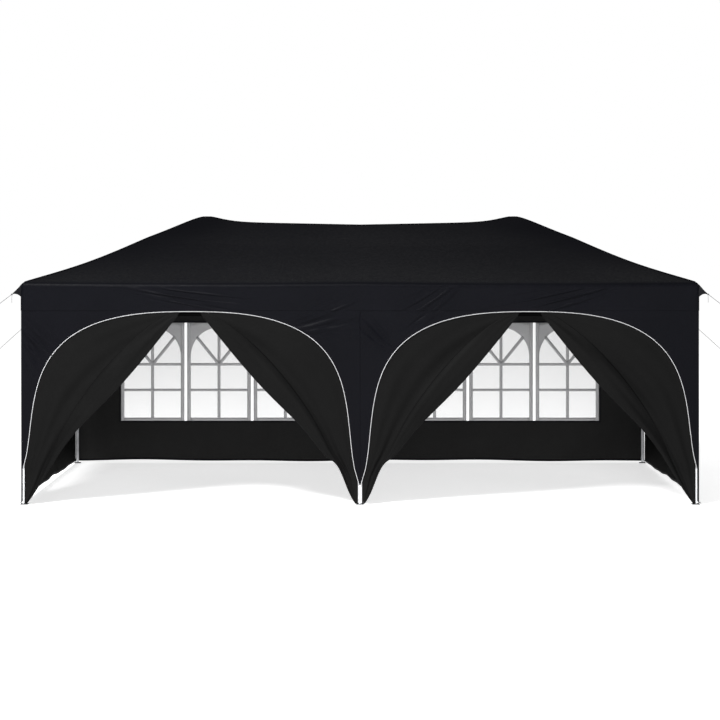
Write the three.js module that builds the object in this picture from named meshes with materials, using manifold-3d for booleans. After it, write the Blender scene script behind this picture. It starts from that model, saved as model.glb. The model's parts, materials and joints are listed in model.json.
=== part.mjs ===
// Pop up gazebo, 3 x 6 m. A folding scissor frame stands on six telescopic legs and carries a
// canopy with two peaks, hanging side walls and four guy ropes.
// Millimetres, +Z up. The origin is on the ground at the middle of the floor plan. The doors
// are in the front, which faces -Y.

import * as THREE from 'three';
import { mergeVertices } from 'three/addons/utils/BufferGeometryUtils.js';
import Module from 'manifold-3d';

const wasm = await Module();
wasm.setup();

// Driving dimensions of the frame.
const BAY = 2920;                 // from leg to leg, along the front and across the ends
const CAP_PIVOT_Z = 1885;         // pivots in the leg caps
const SLIDER_PIVOT_Z = 1665;      // pivots in the sliders when the frame stands open
const BAR_LENGTH = 1430;          // between the end pivots of a bar
const BAR_THICK = 12;
const BAR_HIGH = 24;
const BAR_WALL = 1;
const BAR_GAP = 1.2;              // between two crossing bars
const PIN_R = 3;
const HOLE_R = 3.6;
const HEAD_R = 5;
const HEAD_HIGH = 2;
const RUNNING_GAP = 0.3;          // between faces that slide on each other
const ROUND_SIDES = 6;            // sides of a pin or hole
const ARC_STEPS = 3;              // steps of a half circle at the end of a bar or an ear

const OUTER_LEG = { half: 15, wall: 1.2, bottom: 420, top: 1870 };
const LEG_CAP = { half: 20, bottom: 1862, top: 1912 };
const SLIDER = { half: 21, bore: 15.5, halfHigh: 24 };
const INNER_LEG = { half: 12, wall: 1, top: 800 };
const FOOT = { half: 33, high: 5, pegHole: 4.5, pegAt: 24 };
const EAR = { near: 13.2, thick: 3, round: 9 };
const PEAK_JOINT = { near: 13.2, far: 25.2, left: -31, right: 14, halfHigh: 18 };
const POLE = { r: 12.5, wall: 1.2, sides: 12, bottom: 1640, top: 2518, solidTop: 12 };
const HUB = { halfX: 13.2, halfY: 20, bottom: 1640, top: 1690 };
const PEAK_BAR_SIDE = 19.5;       // from the pole's axis to the middle of a peak bar

// Driving dimensions of the fabric.
const CANOPY = { halfX: 2954, halfY: 1494, hem: 1685, eave: 1926, peak: 2531, thick: 2 };
const RIDGE = { shoulderX: 1250, shoulderZ: 2491, middleZ: 2452 };
const WALL_THICK = 2;
const WALL_TOP = 1900;
const WALL_INNER = 24.5;          // from the legs' centre line to the wall's inner face
const WALL_CORNER_GAP = 1;
const FRONT_HEM = 30;
const END_HEM = 28;
const BACK_HEM = 38;
const DOOR = { side: 50, apexLeft: 1360, apexRight: 1570, top: 1655 };
const TAB = { long: 62, wide: 25, thick: 3, rootIn: 5, z: 1848, along: [0.83, 0.52, -0.2] };

// The ropes run from the corner tabs to a tied loop.
const ROPE_R = 2;
const ROPE_SIDES = 8;
const ROPE_LOOP_R = 26;
const FRONT_ROPE = { along: [0.66, 0.5, -0.56], straight: 280, steps: 26 };
const BACK_ROPE = { along: [0.73, 0.3, -0.62], straight: 1165, steps: 40 };

const DOWN_TILT = Math.asin((CAP_PIVOT_Z - SLIDER_PIVOT_Z) / BAR_LENGTH);
const PIVOT_OUT = BAY / 2 - BAR_LENGTH * Math.cos(DOWN_TILT);   // from leg axis to pivot
const BAR_PLANE = (BAR_THICK + BAR_GAP) / 2;
const BAR_FACE = BAR_PLANE + BAR_THICK / 2;

const LEGS = {
  front_left: [-BAY, -BAY / 2],
  front_centre: [0, -BAY / 2],
  front_right: [BAY, -BAY / 2],
  back_left: [-BAY, BAY / 2],
  back_centre: [0, BAY / 2],
  back_right: [BAY, BAY / 2],
};

// Each span has two scissors that meet in its middle. In the first leg's scissor the top bar
// is outside, and in the second leg's scissor the low bar is outside.
const SPANS = [
  { name: 'front_left', legs: ['front_centre', 'front_left'], ends: ['centre', 'corner'] },
  { name: 'front_right', legs: ['front_centre', 'front_right'], ends: ['centre', 'corner'] },
  { name: 'left_end', legs: ['front_left', 'back_left'], ends: ['front', 'back'] },
  { name: 'right_end', legs: ['front_right', 'back_right'], ends: ['front', 'back'] },
  { name: 'back_left', legs: ['back_left', 'back_centre'], ends: ['corner', 'centre'] },
  { name: 'back_right', legs: ['back_right', 'back_centre'], ends: ['corner', 'centre'] },
];
const OUTWARD = { front: [0, -1], back: [0, 1], left: [-1, 0], right: [1, 0] };
const PEAKS = { left: -BAY / 2, right: BAY / 2 };
const SIDES = { left: -1, right: 1 };
const ENDS = { front: -1, back: 1 };

const LOOKS = {
  silver: { color: 0xb9bcc0, roughness: 0.38, metalness: 0.7 },
  grey: { color: 0x3a3b3e, roughness: 0.55, metalness: 0 },
  black: { color: 0x1a1b1f, roughness: 0.85, metalness: 0 },
  charcoal: { color: 0x242424, roughness: 0.9, metalness: 0 },
  cord: { color: 0x1c1c1e, roughness: 0.8, metalness: 0 },
};

const group = new THREE.Group();

function addMesh(name, look, geometry, parent = group) {
  const mesh = new THREE.Mesh(geometry, new THREE.MeshStandardMaterial(LOOKS[look]));
  mesh.name = name;
  parent.add(mesh);
  return mesh;
}

// Solids: three.js shapes turned into solids that can be joined and cut.

function solid(shape) {
  const bare = shape.clone();
  bare.deleteAttribute('normal');
  bare.deleteAttribute('uv');
  const merged = mergeVertices(bare, 1e-4);
  return new wasm.Manifold(new wasm.Mesh({
    numProp: 3,
    vertProperties: new Float32Array(merged.attributes.position.array),
    triVerts: new Uint32Array(merged.index.array),
  }));
}

function geometryOf(body) {
  const mesh = body.getMesh();
  const geometry = new THREE.BufferGeometry();
  geometry.setAttribute('position', new THREE.BufferAttribute(mesh.vertProperties, 3));
  geometry.setIndex(new THREE.BufferAttribute(mesh.triVerts, 1));
  return geometry;
}

function block([x0, x1], [y0, y1], [z0, z1]) {
  const box = new THREE.BoxGeometry(x1 - x0, y1 - y0, z1 - z0);
  return solid(box.translate((x0 + x1) / 2, (y0 + y1) / 2, (z0 + z1) / 2));
}

function squareBlock(half, z0, z1) {
  return block([-half, half], [-half, half], [z0, z1]);
}

function rodY(radius, y0, y1, x = 0, z = 0) {
  const rod = new THREE.CylinderGeometry(radius, radius, y1 - y0, ROUND_SIDES);
  return solid(rod.translate(x, (y0 + y1) / 2, z));
}

function rodX(radius, x0, x1, y = 0, z = 0) {
  const rod = new THREE.CylinderGeometry(radius, radius, x1 - x0, ROUND_SIDES);
  return solid(rod.rotateZ(Math.PI / 2).translate((x0 + x1) / 2, y, z));
}

function rodZ(radius, z0, z1, sides, x = 0, y = 0) {
  const rod = new THREE.CylinderGeometry(radius, radius, z1 - z0, sides);
  return solid(rod.rotateX(Math.PI / 2).translate(x, y, (z0 + z1) / 2));
}

function join(bodies) {
  return bodies.reduce((whole, body) => whole.add(body));
}

// An upright plate in the XZ plane with round ends at x0 and x1, its faces at y0 and y1.
function roundEndPlate(x0, x1, radius, [y0, y1], roundStart) {
  const outline = new THREE.Shape();
  outline.moveTo(x0, -radius);
  outline.lineTo(x1, -radius);
  outline.absarc(x1, 0, radius, -Math.PI / 2, Math.PI / 2, false);
  outline.lineTo(x0, radius);
  if (roundStart) outline.absarc(x0, 0, radius, Math.PI / 2, 1.5 * Math.PI, false);
  const plate = new THREE.ExtrudeGeometry(outline, {
    depth: y1 - y0, bevelEnabled: false, curveSegments: ARC_STEPS,
  });
  return solid(plate.rotateX(Math.PI / 2).translate(0, y1, 0));
}

// A bar is a flat tube with open round ends. It lies along +X from its leg pivot at the
// origin, in the plane y = planeY.
function barTube(planeY, holesAt) {
  const half = BAR_THICK / 2;
  const skin = roundEndPlate(0, BAR_LENGTH, BAR_HIGH / 2, [planeY - half, planeY + half], true);
  const hollow = block(
    [-BAR_HIGH, BAR_LENGTH + BAR_HIGH],
    [planeY - half + BAR_WALL, planeY + half - BAR_WALL],
    [-BAR_HIGH / 2 + BAR_WALL, BAR_HIGH / 2 - BAR_WALL],
  );
  const holes = holesAt.map((x) => rodY(HOLE_R, planeY - BAR_THICK, planeY + BAR_THICK, x));
  return skin.subtract(hollow).subtract(join(holes));
}

// A rivet through an outer bar and the bar inside it, with a head at each end.
function rivet(side, x, inwardTo) {
  const outer = side * (BAR_FACE + HEAD_HIGH);
  const inner = -side * inwardTo;
  const head = (y0, y1) => rodY(HEAD_R, Math.min(y0, y1), Math.max(y0, y1), x);
  return join([
    rodY(PIN_R, Math.min(outer, inner), Math.max(outer, inner), x),
    head(outer, side * (BAR_FACE - BAR_WALL / 2)),
    head(inner, inner + side * HEAD_HIGH),
  ]);
}

const SHORT_RIVET = BAR_FACE + RUNNING_GAP + HEAD_HIGH;
const LONG_RIVET = PEAK_JOINT.far + RUNNING_GAP + HEAD_HIGH;

function outerBar(side, midRivetTo) {
  return barTube(side * BAR_PLANE, [0])
    .add(rivet(side, BAR_LENGTH / 2, SHORT_RIVET))
    .add(rivet(side, BAR_LENGTH, midRivetTo));
}

function innerBar(side) {
  return barTube(-side * BAR_PLANE, [0, BAR_LENGTH / 2, BAR_LENGTH]);
}

// Which way a span's bars leave one of its legs, and on which side of them the outside is.
function ports() {
  return SPANS.flatMap((span) => [0, 1].map((end) => {
    const here = LEGS[span.legs[end]];
    const there = LEGS[span.legs[1 - end]];
    const heading = Math.atan2(there[1] - here[1], there[0] - here[0]);
    const [outX, outY] = OUTWARD[span.name.split('_')[0]];
    const side = Math.sign(-Math.sin(heading) * outX + Math.cos(heading) * outY);
    return { span, end, leg: span.legs[end], heading, side, topIsOuter: end === 0 };
  }));
}

// A fork has two ears, a pin, and a boss that fills the place beside its one bar.
function fork(heading, barSide, height) {
  const earFar = EAR.near + EAR.thick;
  const ears = [[EAR.near, earFar], [-earFar, -EAR.near]].map(
    (faces) => roundEndPlate(LEG_CAP.half - 1, PIVOT_OUT, EAR.round, faces, false),
  );
  const bossFaces = [-barSide * (EAR.near + 1), -barSide * (BAR_FACE - BAR_THICK - 2 * RUNNING_GAP)];
  const boss = rodY(HEAD_R + 1, Math.min(...bossFaces), Math.max(...bossFaces), PIVOT_OUT);
  const pin = rodY(PIN_R, -EAR.near - 1, EAR.near + 1, PIVOT_OUT);
  return join([...ears, boss, pin])
    .rotate([0, 0, THREE.MathUtils.radToDeg(heading)])
    .translate([0, 0, height]);
}

// A square tube that is closed by a cap with a fork for each span.
function outerLeg(legPorts) {
  const tube = squareBlock(OUTER_LEG.half, OUTER_LEG.bottom, OUTER_LEG.top)
    .subtract(squareBlock(OUTER_LEG.half - OUTER_LEG.wall, OUTER_LEG.bottom - 1, LEG_CAP.bottom));
  const cap = squareBlock(LEG_CAP.half, LEG_CAP.bottom, LEG_CAP.top);
  const forks = legPorts.map(
    (port) => fork(port.heading, port.topIsOuter ? port.side : -port.side, CAP_PIVOT_Z),
  );
  return join([tube, cap, ...forks]);
}

// A square collar that runs on the outer leg, with a fork for each span.
function slider(legPorts) {
  const collar = squareBlock(SLIDER.half, -SLIDER.halfHigh, SLIDER.halfHigh)
    .subtract(squareBlock(SLIDER.bore, -2 * SLIDER.halfHigh, 2 * SLIDER.halfHigh));
  const forks = legPorts.map(
    (port) => fork(port.heading, port.topIsOuter ? -port.side : port.side, 0),
  );
  return join([collar, ...forks]);
}

// The leg's lower tube, open at its top, on a foot plate with a hole for a ground peg.
function innerLeg([x, y]) {
  const tube = squareBlock(INNER_LEG.half, FOOT.high / 2, INNER_LEG.top)
    .subtract(squareBlock(INNER_LEG.half - INNER_LEG.wall, FOOT.high, INNER_LEG.top + 1));
  const pegX = FOOT.pegAt * (x < 0 ? -1 : 1);
  const pegY = FOOT.pegAt * Math.sign(y);
  const plate = squareBlock(FOOT.half, 0, FOOT.high)
    .subtract(rodZ(FOOT.pegHole, -1, FOOT.high + 1, ROUND_SIDES, pegX, pegY));
  return tube.add(plate);
}

// The peaks: a joint on the front scissor, a bar from it and one from the back, and a pole.

function peakJoint() {
  const { near, far, left, right, halfHigh } = PEAK_JOINT;
  const plate = block([left, right], [near, far], [-halfHigh, halfHigh])
    .subtract(rodY(HOLE_R, near - 1, far + 1));
  const barHalf = BAR_THICK / 2 + 2 * RUNNING_GAP;
  const ear = (x0) => block(
    [x0, x0 + EAR.thick], [far - 1, PIVOT_OUT + EAR.round], [-EAR.round, EAR.round],
  );
  const pin = rodX(PIN_R, -PEAK_BAR_SIDE - barHalf - 1, -PEAK_BAR_SIDE + barHalf + 1, PIVOT_OUT);
  return join([plate, ear(-PEAK_BAR_SIDE - barHalf - EAR.thick), ear(-PEAK_BAR_SIDE + barHalf), pin]);
}

function peakBar() {
  return barTube(0, [0, BAR_LENGTH]);
}

function peakPole() {
  const { r, wall, sides, bottom, top, solidTop } = POLE;
  const bore = rodZ(r - wall, bottom - 1, top - solidTop, sides);
  const hub = block([-HUB.halfX, HUB.halfX], [-HUB.halfY, HUB.halfY], [HUB.bottom, HUB.top]);
  const headIn = PEAK_BAR_SIDE + BAR_THICK / 2 + RUNNING_GAP;
  const headOut = headIn + HEAD_HIGH;
  return join([
    rodZ(r, bottom, top, sides).add(hub).subtract(bore),
    rodX(PIN_R, -headOut, headOut, 0, SLIDER_PIVOT_Z),
    rodX(HEAD_R, -headOut, -headIn, 0, SLIDER_PIVOT_Z),
    rodX(HEAD_R, headIn, headOut, 0, SLIDER_PIVOT_Z),
  ]);
}

// Fabric.

// The solid under the canopy's surface, drawn in by an inset, from a hem height up.
function tent(inset, hem) {
  const x = CANOPY.halfX - inset;
  const y = CANOPY.halfY - inset;
  const rim = [[-x, -y], [0, -y], [x, -y], [x, y], [0, y], [-x, y]];
  const ridge = [
    [-PEAKS.right, CANOPY.peak], [-RIDGE.shoulderX, RIDGE.shoulderZ], [0, RIDGE.middleZ],
    [RIDGE.shoulderX, RIDGE.shoulderZ], [PEAKS.right, CANOPY.peak],
  ];
  const points = [
    ...rim.map(([px, py]) => [px, py, hem]),
    ...rim.map(([px, py]) => [px, py, CANOPY.eave - inset]),
    ...ridge.map(([px, pz]) => [px, 0, pz - inset]),
  ];
  const [fl, fm, fr, br, bm, bl, pl, sl, mid, sr, pr] = [6, 7, 8, 9, 10, 11, 12, 13, 14, 15, 16];
  const roof = [
    [fl, pl, bl], [fr, br, pr],
    [fl, fm, pl], [fm, sl, pl], [fm, mid, sl], [fm, sr, mid], [fm, pr, sr], [fm, fr, pr],
    [br, bm, pr], [bm, sr, pr], [bm, mid, sr], [bm, sl, mid], [bm, pl, sl], [bm, bl, pl],
  ];
  const valance = rim.flatMap((_, i) => {
    const next = (i + 1) % rim.length;
    return [[i, next, next + 6], [i, next + 6, i + 6]];
  });
  const floor = [[0, 5, 4], [0, 4, 1], [1, 4, 3], [1, 3, 2]];
  const shape = new THREE.BufferGeometry();
  shape.setAttribute('position', new THREE.Float32BufferAttribute(points.flat(), 3));
  shape.setIndex([...roof, ...valance, ...floor].flat());
  return solid(shape);
}

// A webbing tab on a corner of the canopy, pointing out and down.
function cornerTab(sideX, sideY) {
  const along = new THREE.Vector3(TAB.along[0] * sideX, TAB.along[1] * sideY, TAB.along[2]).normalize();
  const across = new THREE.Vector3(-along.y, along.x, 0).normalize();
  const tab = new THREE.BoxGeometry(TAB.long + TAB.rootIn, TAB.wide, TAB.thick);
  tab.translate((TAB.long - TAB.rootIn) / 2, 0, 0);
  tab.applyMatrix4(new THREE.Matrix4().makeBasis(along, across, along.clone().cross(across)));
  return solid(tab.translate(CANOPY.halfX * sideX, CANOPY.halfY * sideY, TAB.z));
}

function canopy() {
  const shell = tent(0, CANOPY.hem).subtract(tent(CANOPY.thick, CANOPY.hem - 1));
  const tabs = Object.values(SIDES).flatMap(
    (sideX) => Object.values(ENDS).map((sideY) => cornerTab(sideX, sideY)),
  );
  return join([shell, ...tabs]);
}

// The long walls reach nearly to the inner faces of the end walls.
const WALL_INNER_X = BAY + WALL_INNER;
const WALL_INNER_Y = BAY / 2 + WALL_INNER;
const LONG_WALL_END = WALL_INNER_X - WALL_CORNER_GAP;

// A front wall has a doorway whose two leaves are drawn aside to the feet of the legs.
function frontWall(side) {
  const outline = new THREE.Shape([
    [WALL_CORNER_GAP, FRONT_HEM], [DOOR.side, FRONT_HEM],
    [DOOR.apexLeft, DOOR.top], [DOOR.apexRight, DOOR.top],
    [BAY - DOOR.side, FRONT_HEM], [LONG_WALL_END, FRONT_HEM],
    [LONG_WALL_END, WALL_TOP], [WALL_CORNER_GAP, WALL_TOP],
  ].map(([x, z]) => new THREE.Vector2(side * x, z)));
  const wall = new THREE.ExtrudeGeometry(outline, { depth: WALL_THICK, bevelEnabled: false });
  return solid(wall.rotateX(Math.PI / 2).translate(0, -WALL_INNER_Y, 0));
}

function backWall() {
  return block(
    [-LONG_WALL_END, LONG_WALL_END], [WALL_INNER_Y, WALL_INNER_Y + WALL_THICK], [BACK_HEM, WALL_TOP],
  );
}

function endWall(side) {
  const faces = [side * WALL_INNER_X, side * (WALL_INNER_X + WALL_THICK)].sort((a, b) => a - b);
  const halfY = WALL_INNER_Y - WALL_CORNER_GAP;
  return block(faces, [-halfY, halfY], [END_HEM, WALL_TOP]);
}

// A rope runs straight from its tab and ends in an open loop beside itself.
function ropeGeometry(sideX, sideY, { along, straight, steps }) {
  const corner = new THREE.Vector3(CANOPY.halfX * sideX, CANOPY.halfY * sideY, TAB.z);
  const tab = new THREE.Vector3(TAB.along[0] * sideX, TAB.along[1] * sideY, TAB.along[2]).normalize();
  const start = corner.addScaledVector(tab, TAB.long + 2 * RUNNING_GAP + ROPE_R);
  const forward = new THREE.Vector3(along[0] * sideX, along[1] * sideY, along[2]).normalize();
  const up = new THREE.Vector3(0, 0, 1).projectOnPlane(forward).normalize();
  const at = (distance, rise = 0) => start.clone()
    .addScaledVector(forward, distance).addScaledVector(up, rise);
  const line = [0, 0.25, 0.5, 0.75, 0.92, 1].map((part) => at(part * straight));
  const centre = straight + ROPE_LOOP_R * 1.5;
  const loop = [50, 90, 135, 180, 225, 270, 310, 335].map((degrees) => {
    const turn = THREE.MathUtils.degToRad(degrees);
    return at(centre - ROPE_LOOP_R * Math.cos(turn), ROPE_LOOP_R * Math.sin(turn));
  });
  const section = new THREE.Shape().absarc(0, 0, ROPE_R, 0, 2 * Math.PI, false);
  return new THREE.ExtrudeGeometry(section, {
    extrudePath: new THREE.CatmullRomCurve3([...line, ...loop], false, 'centripetal'),
    steps,
    curveSegments: ROPE_SIDES / 2,
    bevelEnabled: false,
  });
}

// Assembly.

function addAt(name, look, geometry, [x, y, z]) {
  addMesh(name, look, geometry).position.set(x, y, z);
}

for (const [name, [x, y]] of Object.entries(LEGS)) {
  const legPorts = ports().filter((port) => port.leg === name);
  addAt(`outer_leg_${name}`, 'silver', geometryOf(outerLeg(legPorts)), [x, y, 0]);
  addAt(`inner_leg_${name}`, 'silver', geometryOf(innerLeg([x, y])), [x, y, 0]);
  addAt(`slider_${name}`, 'grey', geometryOf(slider(legPorts)), [x, y, SLIDER_PIVOT_Z]);
}

for (const port of ports()) {
  const { span, end, heading, side } = port;
  const place = new THREE.Group();
  place.position.set(...LEGS[port.leg], 0);
  place.rotation.z = heading;
  group.add(place);
  const midRivet = span.name.startsWith('front') ? LONG_RIVET : SHORT_RIVET;
  const top = end === 0 ? outerBar(side, SHORT_RIVET) : innerBar(side);
  const low = end === 0 ? innerBar(side) : outerBar(side, midRivet);
  const topMesh = addMesh(`bar_${span.name}_${span.ends[end]}_top`, 'silver', geometryOf(top), place);
  topMesh.position.set(PIVOT_OUT, 0, CAP_PIVOT_Z);
  topMesh.rotation.y = DOWN_TILT;
  const lowMesh = addMesh(`bar_${span.name}_${span.ends[end]}_low`, 'silver', geometryOf(low), place);
  lowMesh.position.set(PIVOT_OUT, 0, SLIDER_PIVOT_Z);
  lowMesh.rotation.y = -DOWN_TILT;
}

for (const [name, x] of Object.entries(PEAKS)) {
  addAt(`peak_joint_${name}`, 'grey', geometryOf(peakJoint()), [x, -BAY / 2, CAP_PIVOT_Z]);
  addAt(`peak_pole_${name}`, 'silver', geometryOf(peakPole()), [x, 0, 0]);
  for (const [end, sideY] of Object.entries(ENDS)) {
    const place = new THREE.Group();
    place.position.set(x + sideY * PEAK_BAR_SIDE, sideY * (BAY / 2 - PIVOT_OUT), CAP_PIVOT_Z);
    place.rotation.z = -sideY * Math.PI / 2;
    group.add(place);
    addMesh(`peak_bar_${name}_${end}`, 'silver', geometryOf(peakBar()), place).rotation.y = DOWN_TILT;
  }
}

addMesh('canopy', 'black', geometryOf(canopy()));
addMesh('back_wall', 'charcoal', geometryOf(backWall()));
for (const [name, sideX] of Object.entries(SIDES)) {
  addMesh(`front_wall_${name}`, 'charcoal', geometryOf(frontWall(sideX)));
  addMesh(`end_wall_${name}`, 'charcoal', geometryOf(endWall(sideX)));
  addMesh(`guy_rope_front_${name}`, 'cord', ropeGeometry(sideX, ENDS.front, FRONT_ROPE));
  addMesh(`guy_rope_back_${name}`, 'cord', ropeGeometry(sideX, ENDS.back, BACK_ROPE));
}

export default group;
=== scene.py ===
import json
import math

import bmesh
import bpy
import numpy as np
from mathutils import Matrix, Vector

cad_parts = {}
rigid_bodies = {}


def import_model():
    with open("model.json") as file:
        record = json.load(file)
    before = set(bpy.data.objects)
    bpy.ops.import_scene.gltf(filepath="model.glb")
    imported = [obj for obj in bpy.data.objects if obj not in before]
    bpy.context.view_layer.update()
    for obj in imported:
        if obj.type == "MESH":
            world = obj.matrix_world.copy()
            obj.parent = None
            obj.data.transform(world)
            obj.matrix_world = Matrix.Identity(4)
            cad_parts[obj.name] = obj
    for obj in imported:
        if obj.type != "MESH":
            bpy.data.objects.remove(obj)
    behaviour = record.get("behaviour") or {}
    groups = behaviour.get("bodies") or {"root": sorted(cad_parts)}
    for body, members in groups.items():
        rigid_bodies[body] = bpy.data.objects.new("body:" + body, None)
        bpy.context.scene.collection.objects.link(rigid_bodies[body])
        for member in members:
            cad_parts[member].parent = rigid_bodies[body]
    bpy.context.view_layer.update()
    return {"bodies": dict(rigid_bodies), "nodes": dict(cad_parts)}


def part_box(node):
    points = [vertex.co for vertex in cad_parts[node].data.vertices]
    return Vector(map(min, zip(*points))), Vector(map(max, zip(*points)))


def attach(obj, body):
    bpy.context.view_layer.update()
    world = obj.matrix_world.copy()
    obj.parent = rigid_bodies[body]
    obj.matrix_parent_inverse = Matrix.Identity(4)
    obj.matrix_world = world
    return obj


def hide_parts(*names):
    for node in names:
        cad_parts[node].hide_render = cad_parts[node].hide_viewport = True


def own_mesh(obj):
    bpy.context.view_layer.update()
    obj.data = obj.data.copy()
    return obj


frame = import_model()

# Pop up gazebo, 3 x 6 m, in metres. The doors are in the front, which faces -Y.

# ---------------------------------------------------------------- sizes


def middle(node):
    low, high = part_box(node)
    return (low + high) / 2


def side_name(side):
    return "left" if side < 0 else "right"


LEG_X = middle("inner_leg_front_right").x
LEG_Y = middle("inner_leg_back_right").y
WALL_X = middle("end_wall_right").x
WALL_Y = middle("back_wall").y
WALL_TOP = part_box("back_wall")[1].z
END_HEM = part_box("end_wall_left")[0].z
BACK_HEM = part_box("back_wall")[0].z
WALL_END_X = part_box("back_wall")[1].x
PEAK_X = middle("peak_pole_right").x
POLE_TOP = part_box("peak_pole_right")[1].z

CANOPY_X = WALL_X + 0.0055       # outside of the valance
CANOPY_Y = WALL_Y + 0.0055
# The canopy solid's corner, where a tab and its rope begin. The frame's boxes are in single
# precision, so it is rounded to the CAD's own figure.
TAB_X = round(WALL_X + 0.0085, 6)
TAB_Y = round(WALL_Y + 0.0085, 6)
HEM_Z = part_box("canopy")[0].z
EAVE_Z = HEM_Z + 0.238
PEAK_Z = POLE_TOP + 0.0095
RIDGE_DROP = 0.066               # close to a peak
RIDGE_DROP_LENGTH = 0.17
RIDGE_SLOPE = 0.026              # on to the middle
HIP_SAG = 0.027
CAP_ROUND = 0.026                # how far the cloth is lifted off a sharp peak by the pole cap
CAP_FADE = 0.12
CLOTH = 0.0012                   # thickness of the cloth
EAVE_ROUND = 0.030

ARCH_TOP = 1.677                 # the zip arch of a doorway
ARCH_HALF = 1.418
ARCH_TAPER = 0.045
ARCH_POWER = 5
ARCH_ROUND = 0.385
CENTRE_FLARE = 0.165             # how far the arch spreads at the centre leg's foot
CORNER_FLARE = 0.280             # and at a corner leg's foot
FLARE_HIGH = 0.17
ARCH_CENTRE = 1.478              # from the centre leg to the middle of the arch
ZIP_WIDE = 0.0060

# ---------------------------------------------------------------- mesh tools


def new_object(name, mesh, material):
    piece = bpy.data.objects.new(name, mesh)
    bpy.context.scene.collection.objects.link(piece)
    mesh.materials.append(material)
    return piece


def mesh_from_grid(name, points, uv, skip=None, wrap=False):
    """A mesh of quads over a grid of points, with a uv of cloth metres at each point."""
    rows, columns = points.shape[:2]
    index = np.arange(rows * columns).reshape(rows, columns)
    faces = []
    for r in range(rows - 1):
        for c in range(columns if wrap else columns - 1):
            if skip is not None and skip[r, c]:
                continue
            n = (c + 1) % columns
            faces.append((index[r, c], index[r, n], index[r + 1, n], index[r + 1, c]))
    mesh = bpy.data.meshes.new(name)
    mesh.from_pydata(points.reshape(-1, 3).tolist(), [], [tuple(map(int, f)) for f in faces])
    layer = mesh.uv_layers.new(name="cloth")
    flat = uv.reshape(-1, 2)
    loops = np.empty(len(mesh.loops), dtype=np.int32)
    mesh.loops.foreach_get("vertex_index", loops)
    layer.data.foreach_set("uv", flat[loops].astype(np.float32).ravel())
    mesh.polygons.foreach_set("use_smooth", np.ones(len(mesh.polygons), dtype=bool))
    return mesh


def clean(mesh, distance=1e-5):
    work = bmesh.new()
    work.from_mesh(mesh)
    bmesh.ops.remove_doubles(work, verts=work.verts, dist=distance)
    bmesh.ops.dissolve_degenerate(work, edges=work.edges, dist=1e-6)
    loose = [v for v in work.verts if not v.link_faces]
    bmesh.ops.delete(work, geom=loose, context="VERTS")
    work.to_mesh(mesh)
    work.free()


def thicken(piece, thickness, offset=0.0):
    """Gives a sheet its two faces and its edges, and applies it."""
    solid = piece.modifiers.new("thickness", "SOLIDIFY")
    solid.thickness = thickness
    solid.offset = offset
    solid.use_even_offset = False
    apply_modifiers(piece)


def apply_modifiers(piece):
    graph = bpy.context.evaluated_depsgraph_get()
    mesh = bpy.data.meshes.new_from_object(piece.evaluated_get(graph))
    old = piece.data
    piece.modifiers.clear()
    piece.data = mesh
    bpy.data.meshes.remove(old)


def unit(v):
    v = np.asarray(v, float)
    return v / np.maximum(np.linalg.norm(v, axis=-1, keepdims=True), 1e-12)


def lengths_along(points):
    steps = np.linalg.norm(np.diff(points, axis=0), axis=1)
    return np.concatenate([[0.0], np.cumsum(steps)])


def resample(points, count):
    """count points at even steps along a line of points."""
    at = lengths_along(points)
    wanted = np.linspace(0, at[-1], count)
    return np.stack([np.interp(wanted, at, points[:, k]) for k in range(points.shape[1])], axis=1)


def thin_piece(name, points, u, v, material, thickness):
    """A thickened sheet over a grid of points, with u and v of cloth metres at each point."""
    piece = new_object(name, mesh_from_grid(name, points, np.stack([u, v], axis=2)), material)
    thicken(piece, thickness)
    return piece


def closed_strip(name, path, across, out, width, height, material):
    """A flat tape along a path: across points over its width, out points away from the cloth."""
    path = np.asarray(path, float)
    across = np.broadcast_to(unit(across), path.shape)
    out = np.broadcast_to(unit(out), path.shape)
    edge = min(0.0012, width / 6)
    section = [(-0.5 * width, 0.0), (-0.5 * width + edge, height), (0.0, 1.15 * height),
               (0.5 * width - edge, height), (0.5 * width, 0.0)]
    rows = np.stack([path + across * a + out * b for a, b in section], axis=1)
    along = lengths_along(path)
    uv = np.stack([np.stack([along, np.full_like(along, a)], axis=1) for a, _ in section], axis=1)
    mesh = mesh_from_grid(name, rows, uv, wrap=True)
    piece = new_object(name, mesh, material)
    close_ends(piece.data)
    return piece


def close_ends(mesh):
    work = bmesh.new()
    work.from_mesh(mesh)
    edges = [e for e in work.edges if e.is_boundary]
    bmesh.ops.holes_fill(work, edges=edges, sides=0)
    bmesh.ops.recalc_face_normals(work, faces=work.faces)
    work.to_mesh(mesh)
    work.free()


def tube(name, path, radius, material, sides=10):
    """A closed round tube along a path of points, with a uv of metres along and around."""
    path = np.asarray(path, float)
    tangent = unit(np.gradient(path, axis=0))
    side = np.cross(tangent[0], (0.0, 0.0, 1.0))
    if np.linalg.norm(side) < 1e-3:
        side = np.cross(tangent[0], (0.0, 1.0, 0.0))
    frames = []
    for t in tangent:
        side = unit(side - t * np.dot(side, t))
        frames.append((side, np.cross(t, side)))
    radii = np.broadcast_to(radius, len(path))
    angles = np.linspace(0, 2 * math.pi, sides, endpoint=False)
    rows = np.array([
        [p + r * (a * math.cos(t) + b * math.sin(t)) for t in angles]
        for p, r, (a, b) in zip(path, radii, frames)
    ])
    along = lengths_along(path)
    uv = np.array([[(s, r * t) for t in angles] for s, r in zip(along, radii)])
    piece = new_object(name, mesh_from_grid(name, rows, uv, wrap=True), material)
    close_ends(piece.data)
    return piece


def merge(name, pieces):
    """Joins pieces with one material into one piece."""
    work = bmesh.new()
    for piece in pieces:
        piece.data.transform(piece.matrix_world)
        work.from_mesh(piece.data)
    mesh = bpy.data.meshes.new(name)
    work.to_mesh(mesh)
    work.free()
    material = pieces[0].data.materials[0]
    for piece in pieces:
        bpy.data.objects.remove(piece)
    return new_object(name, mesh, material)


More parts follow.
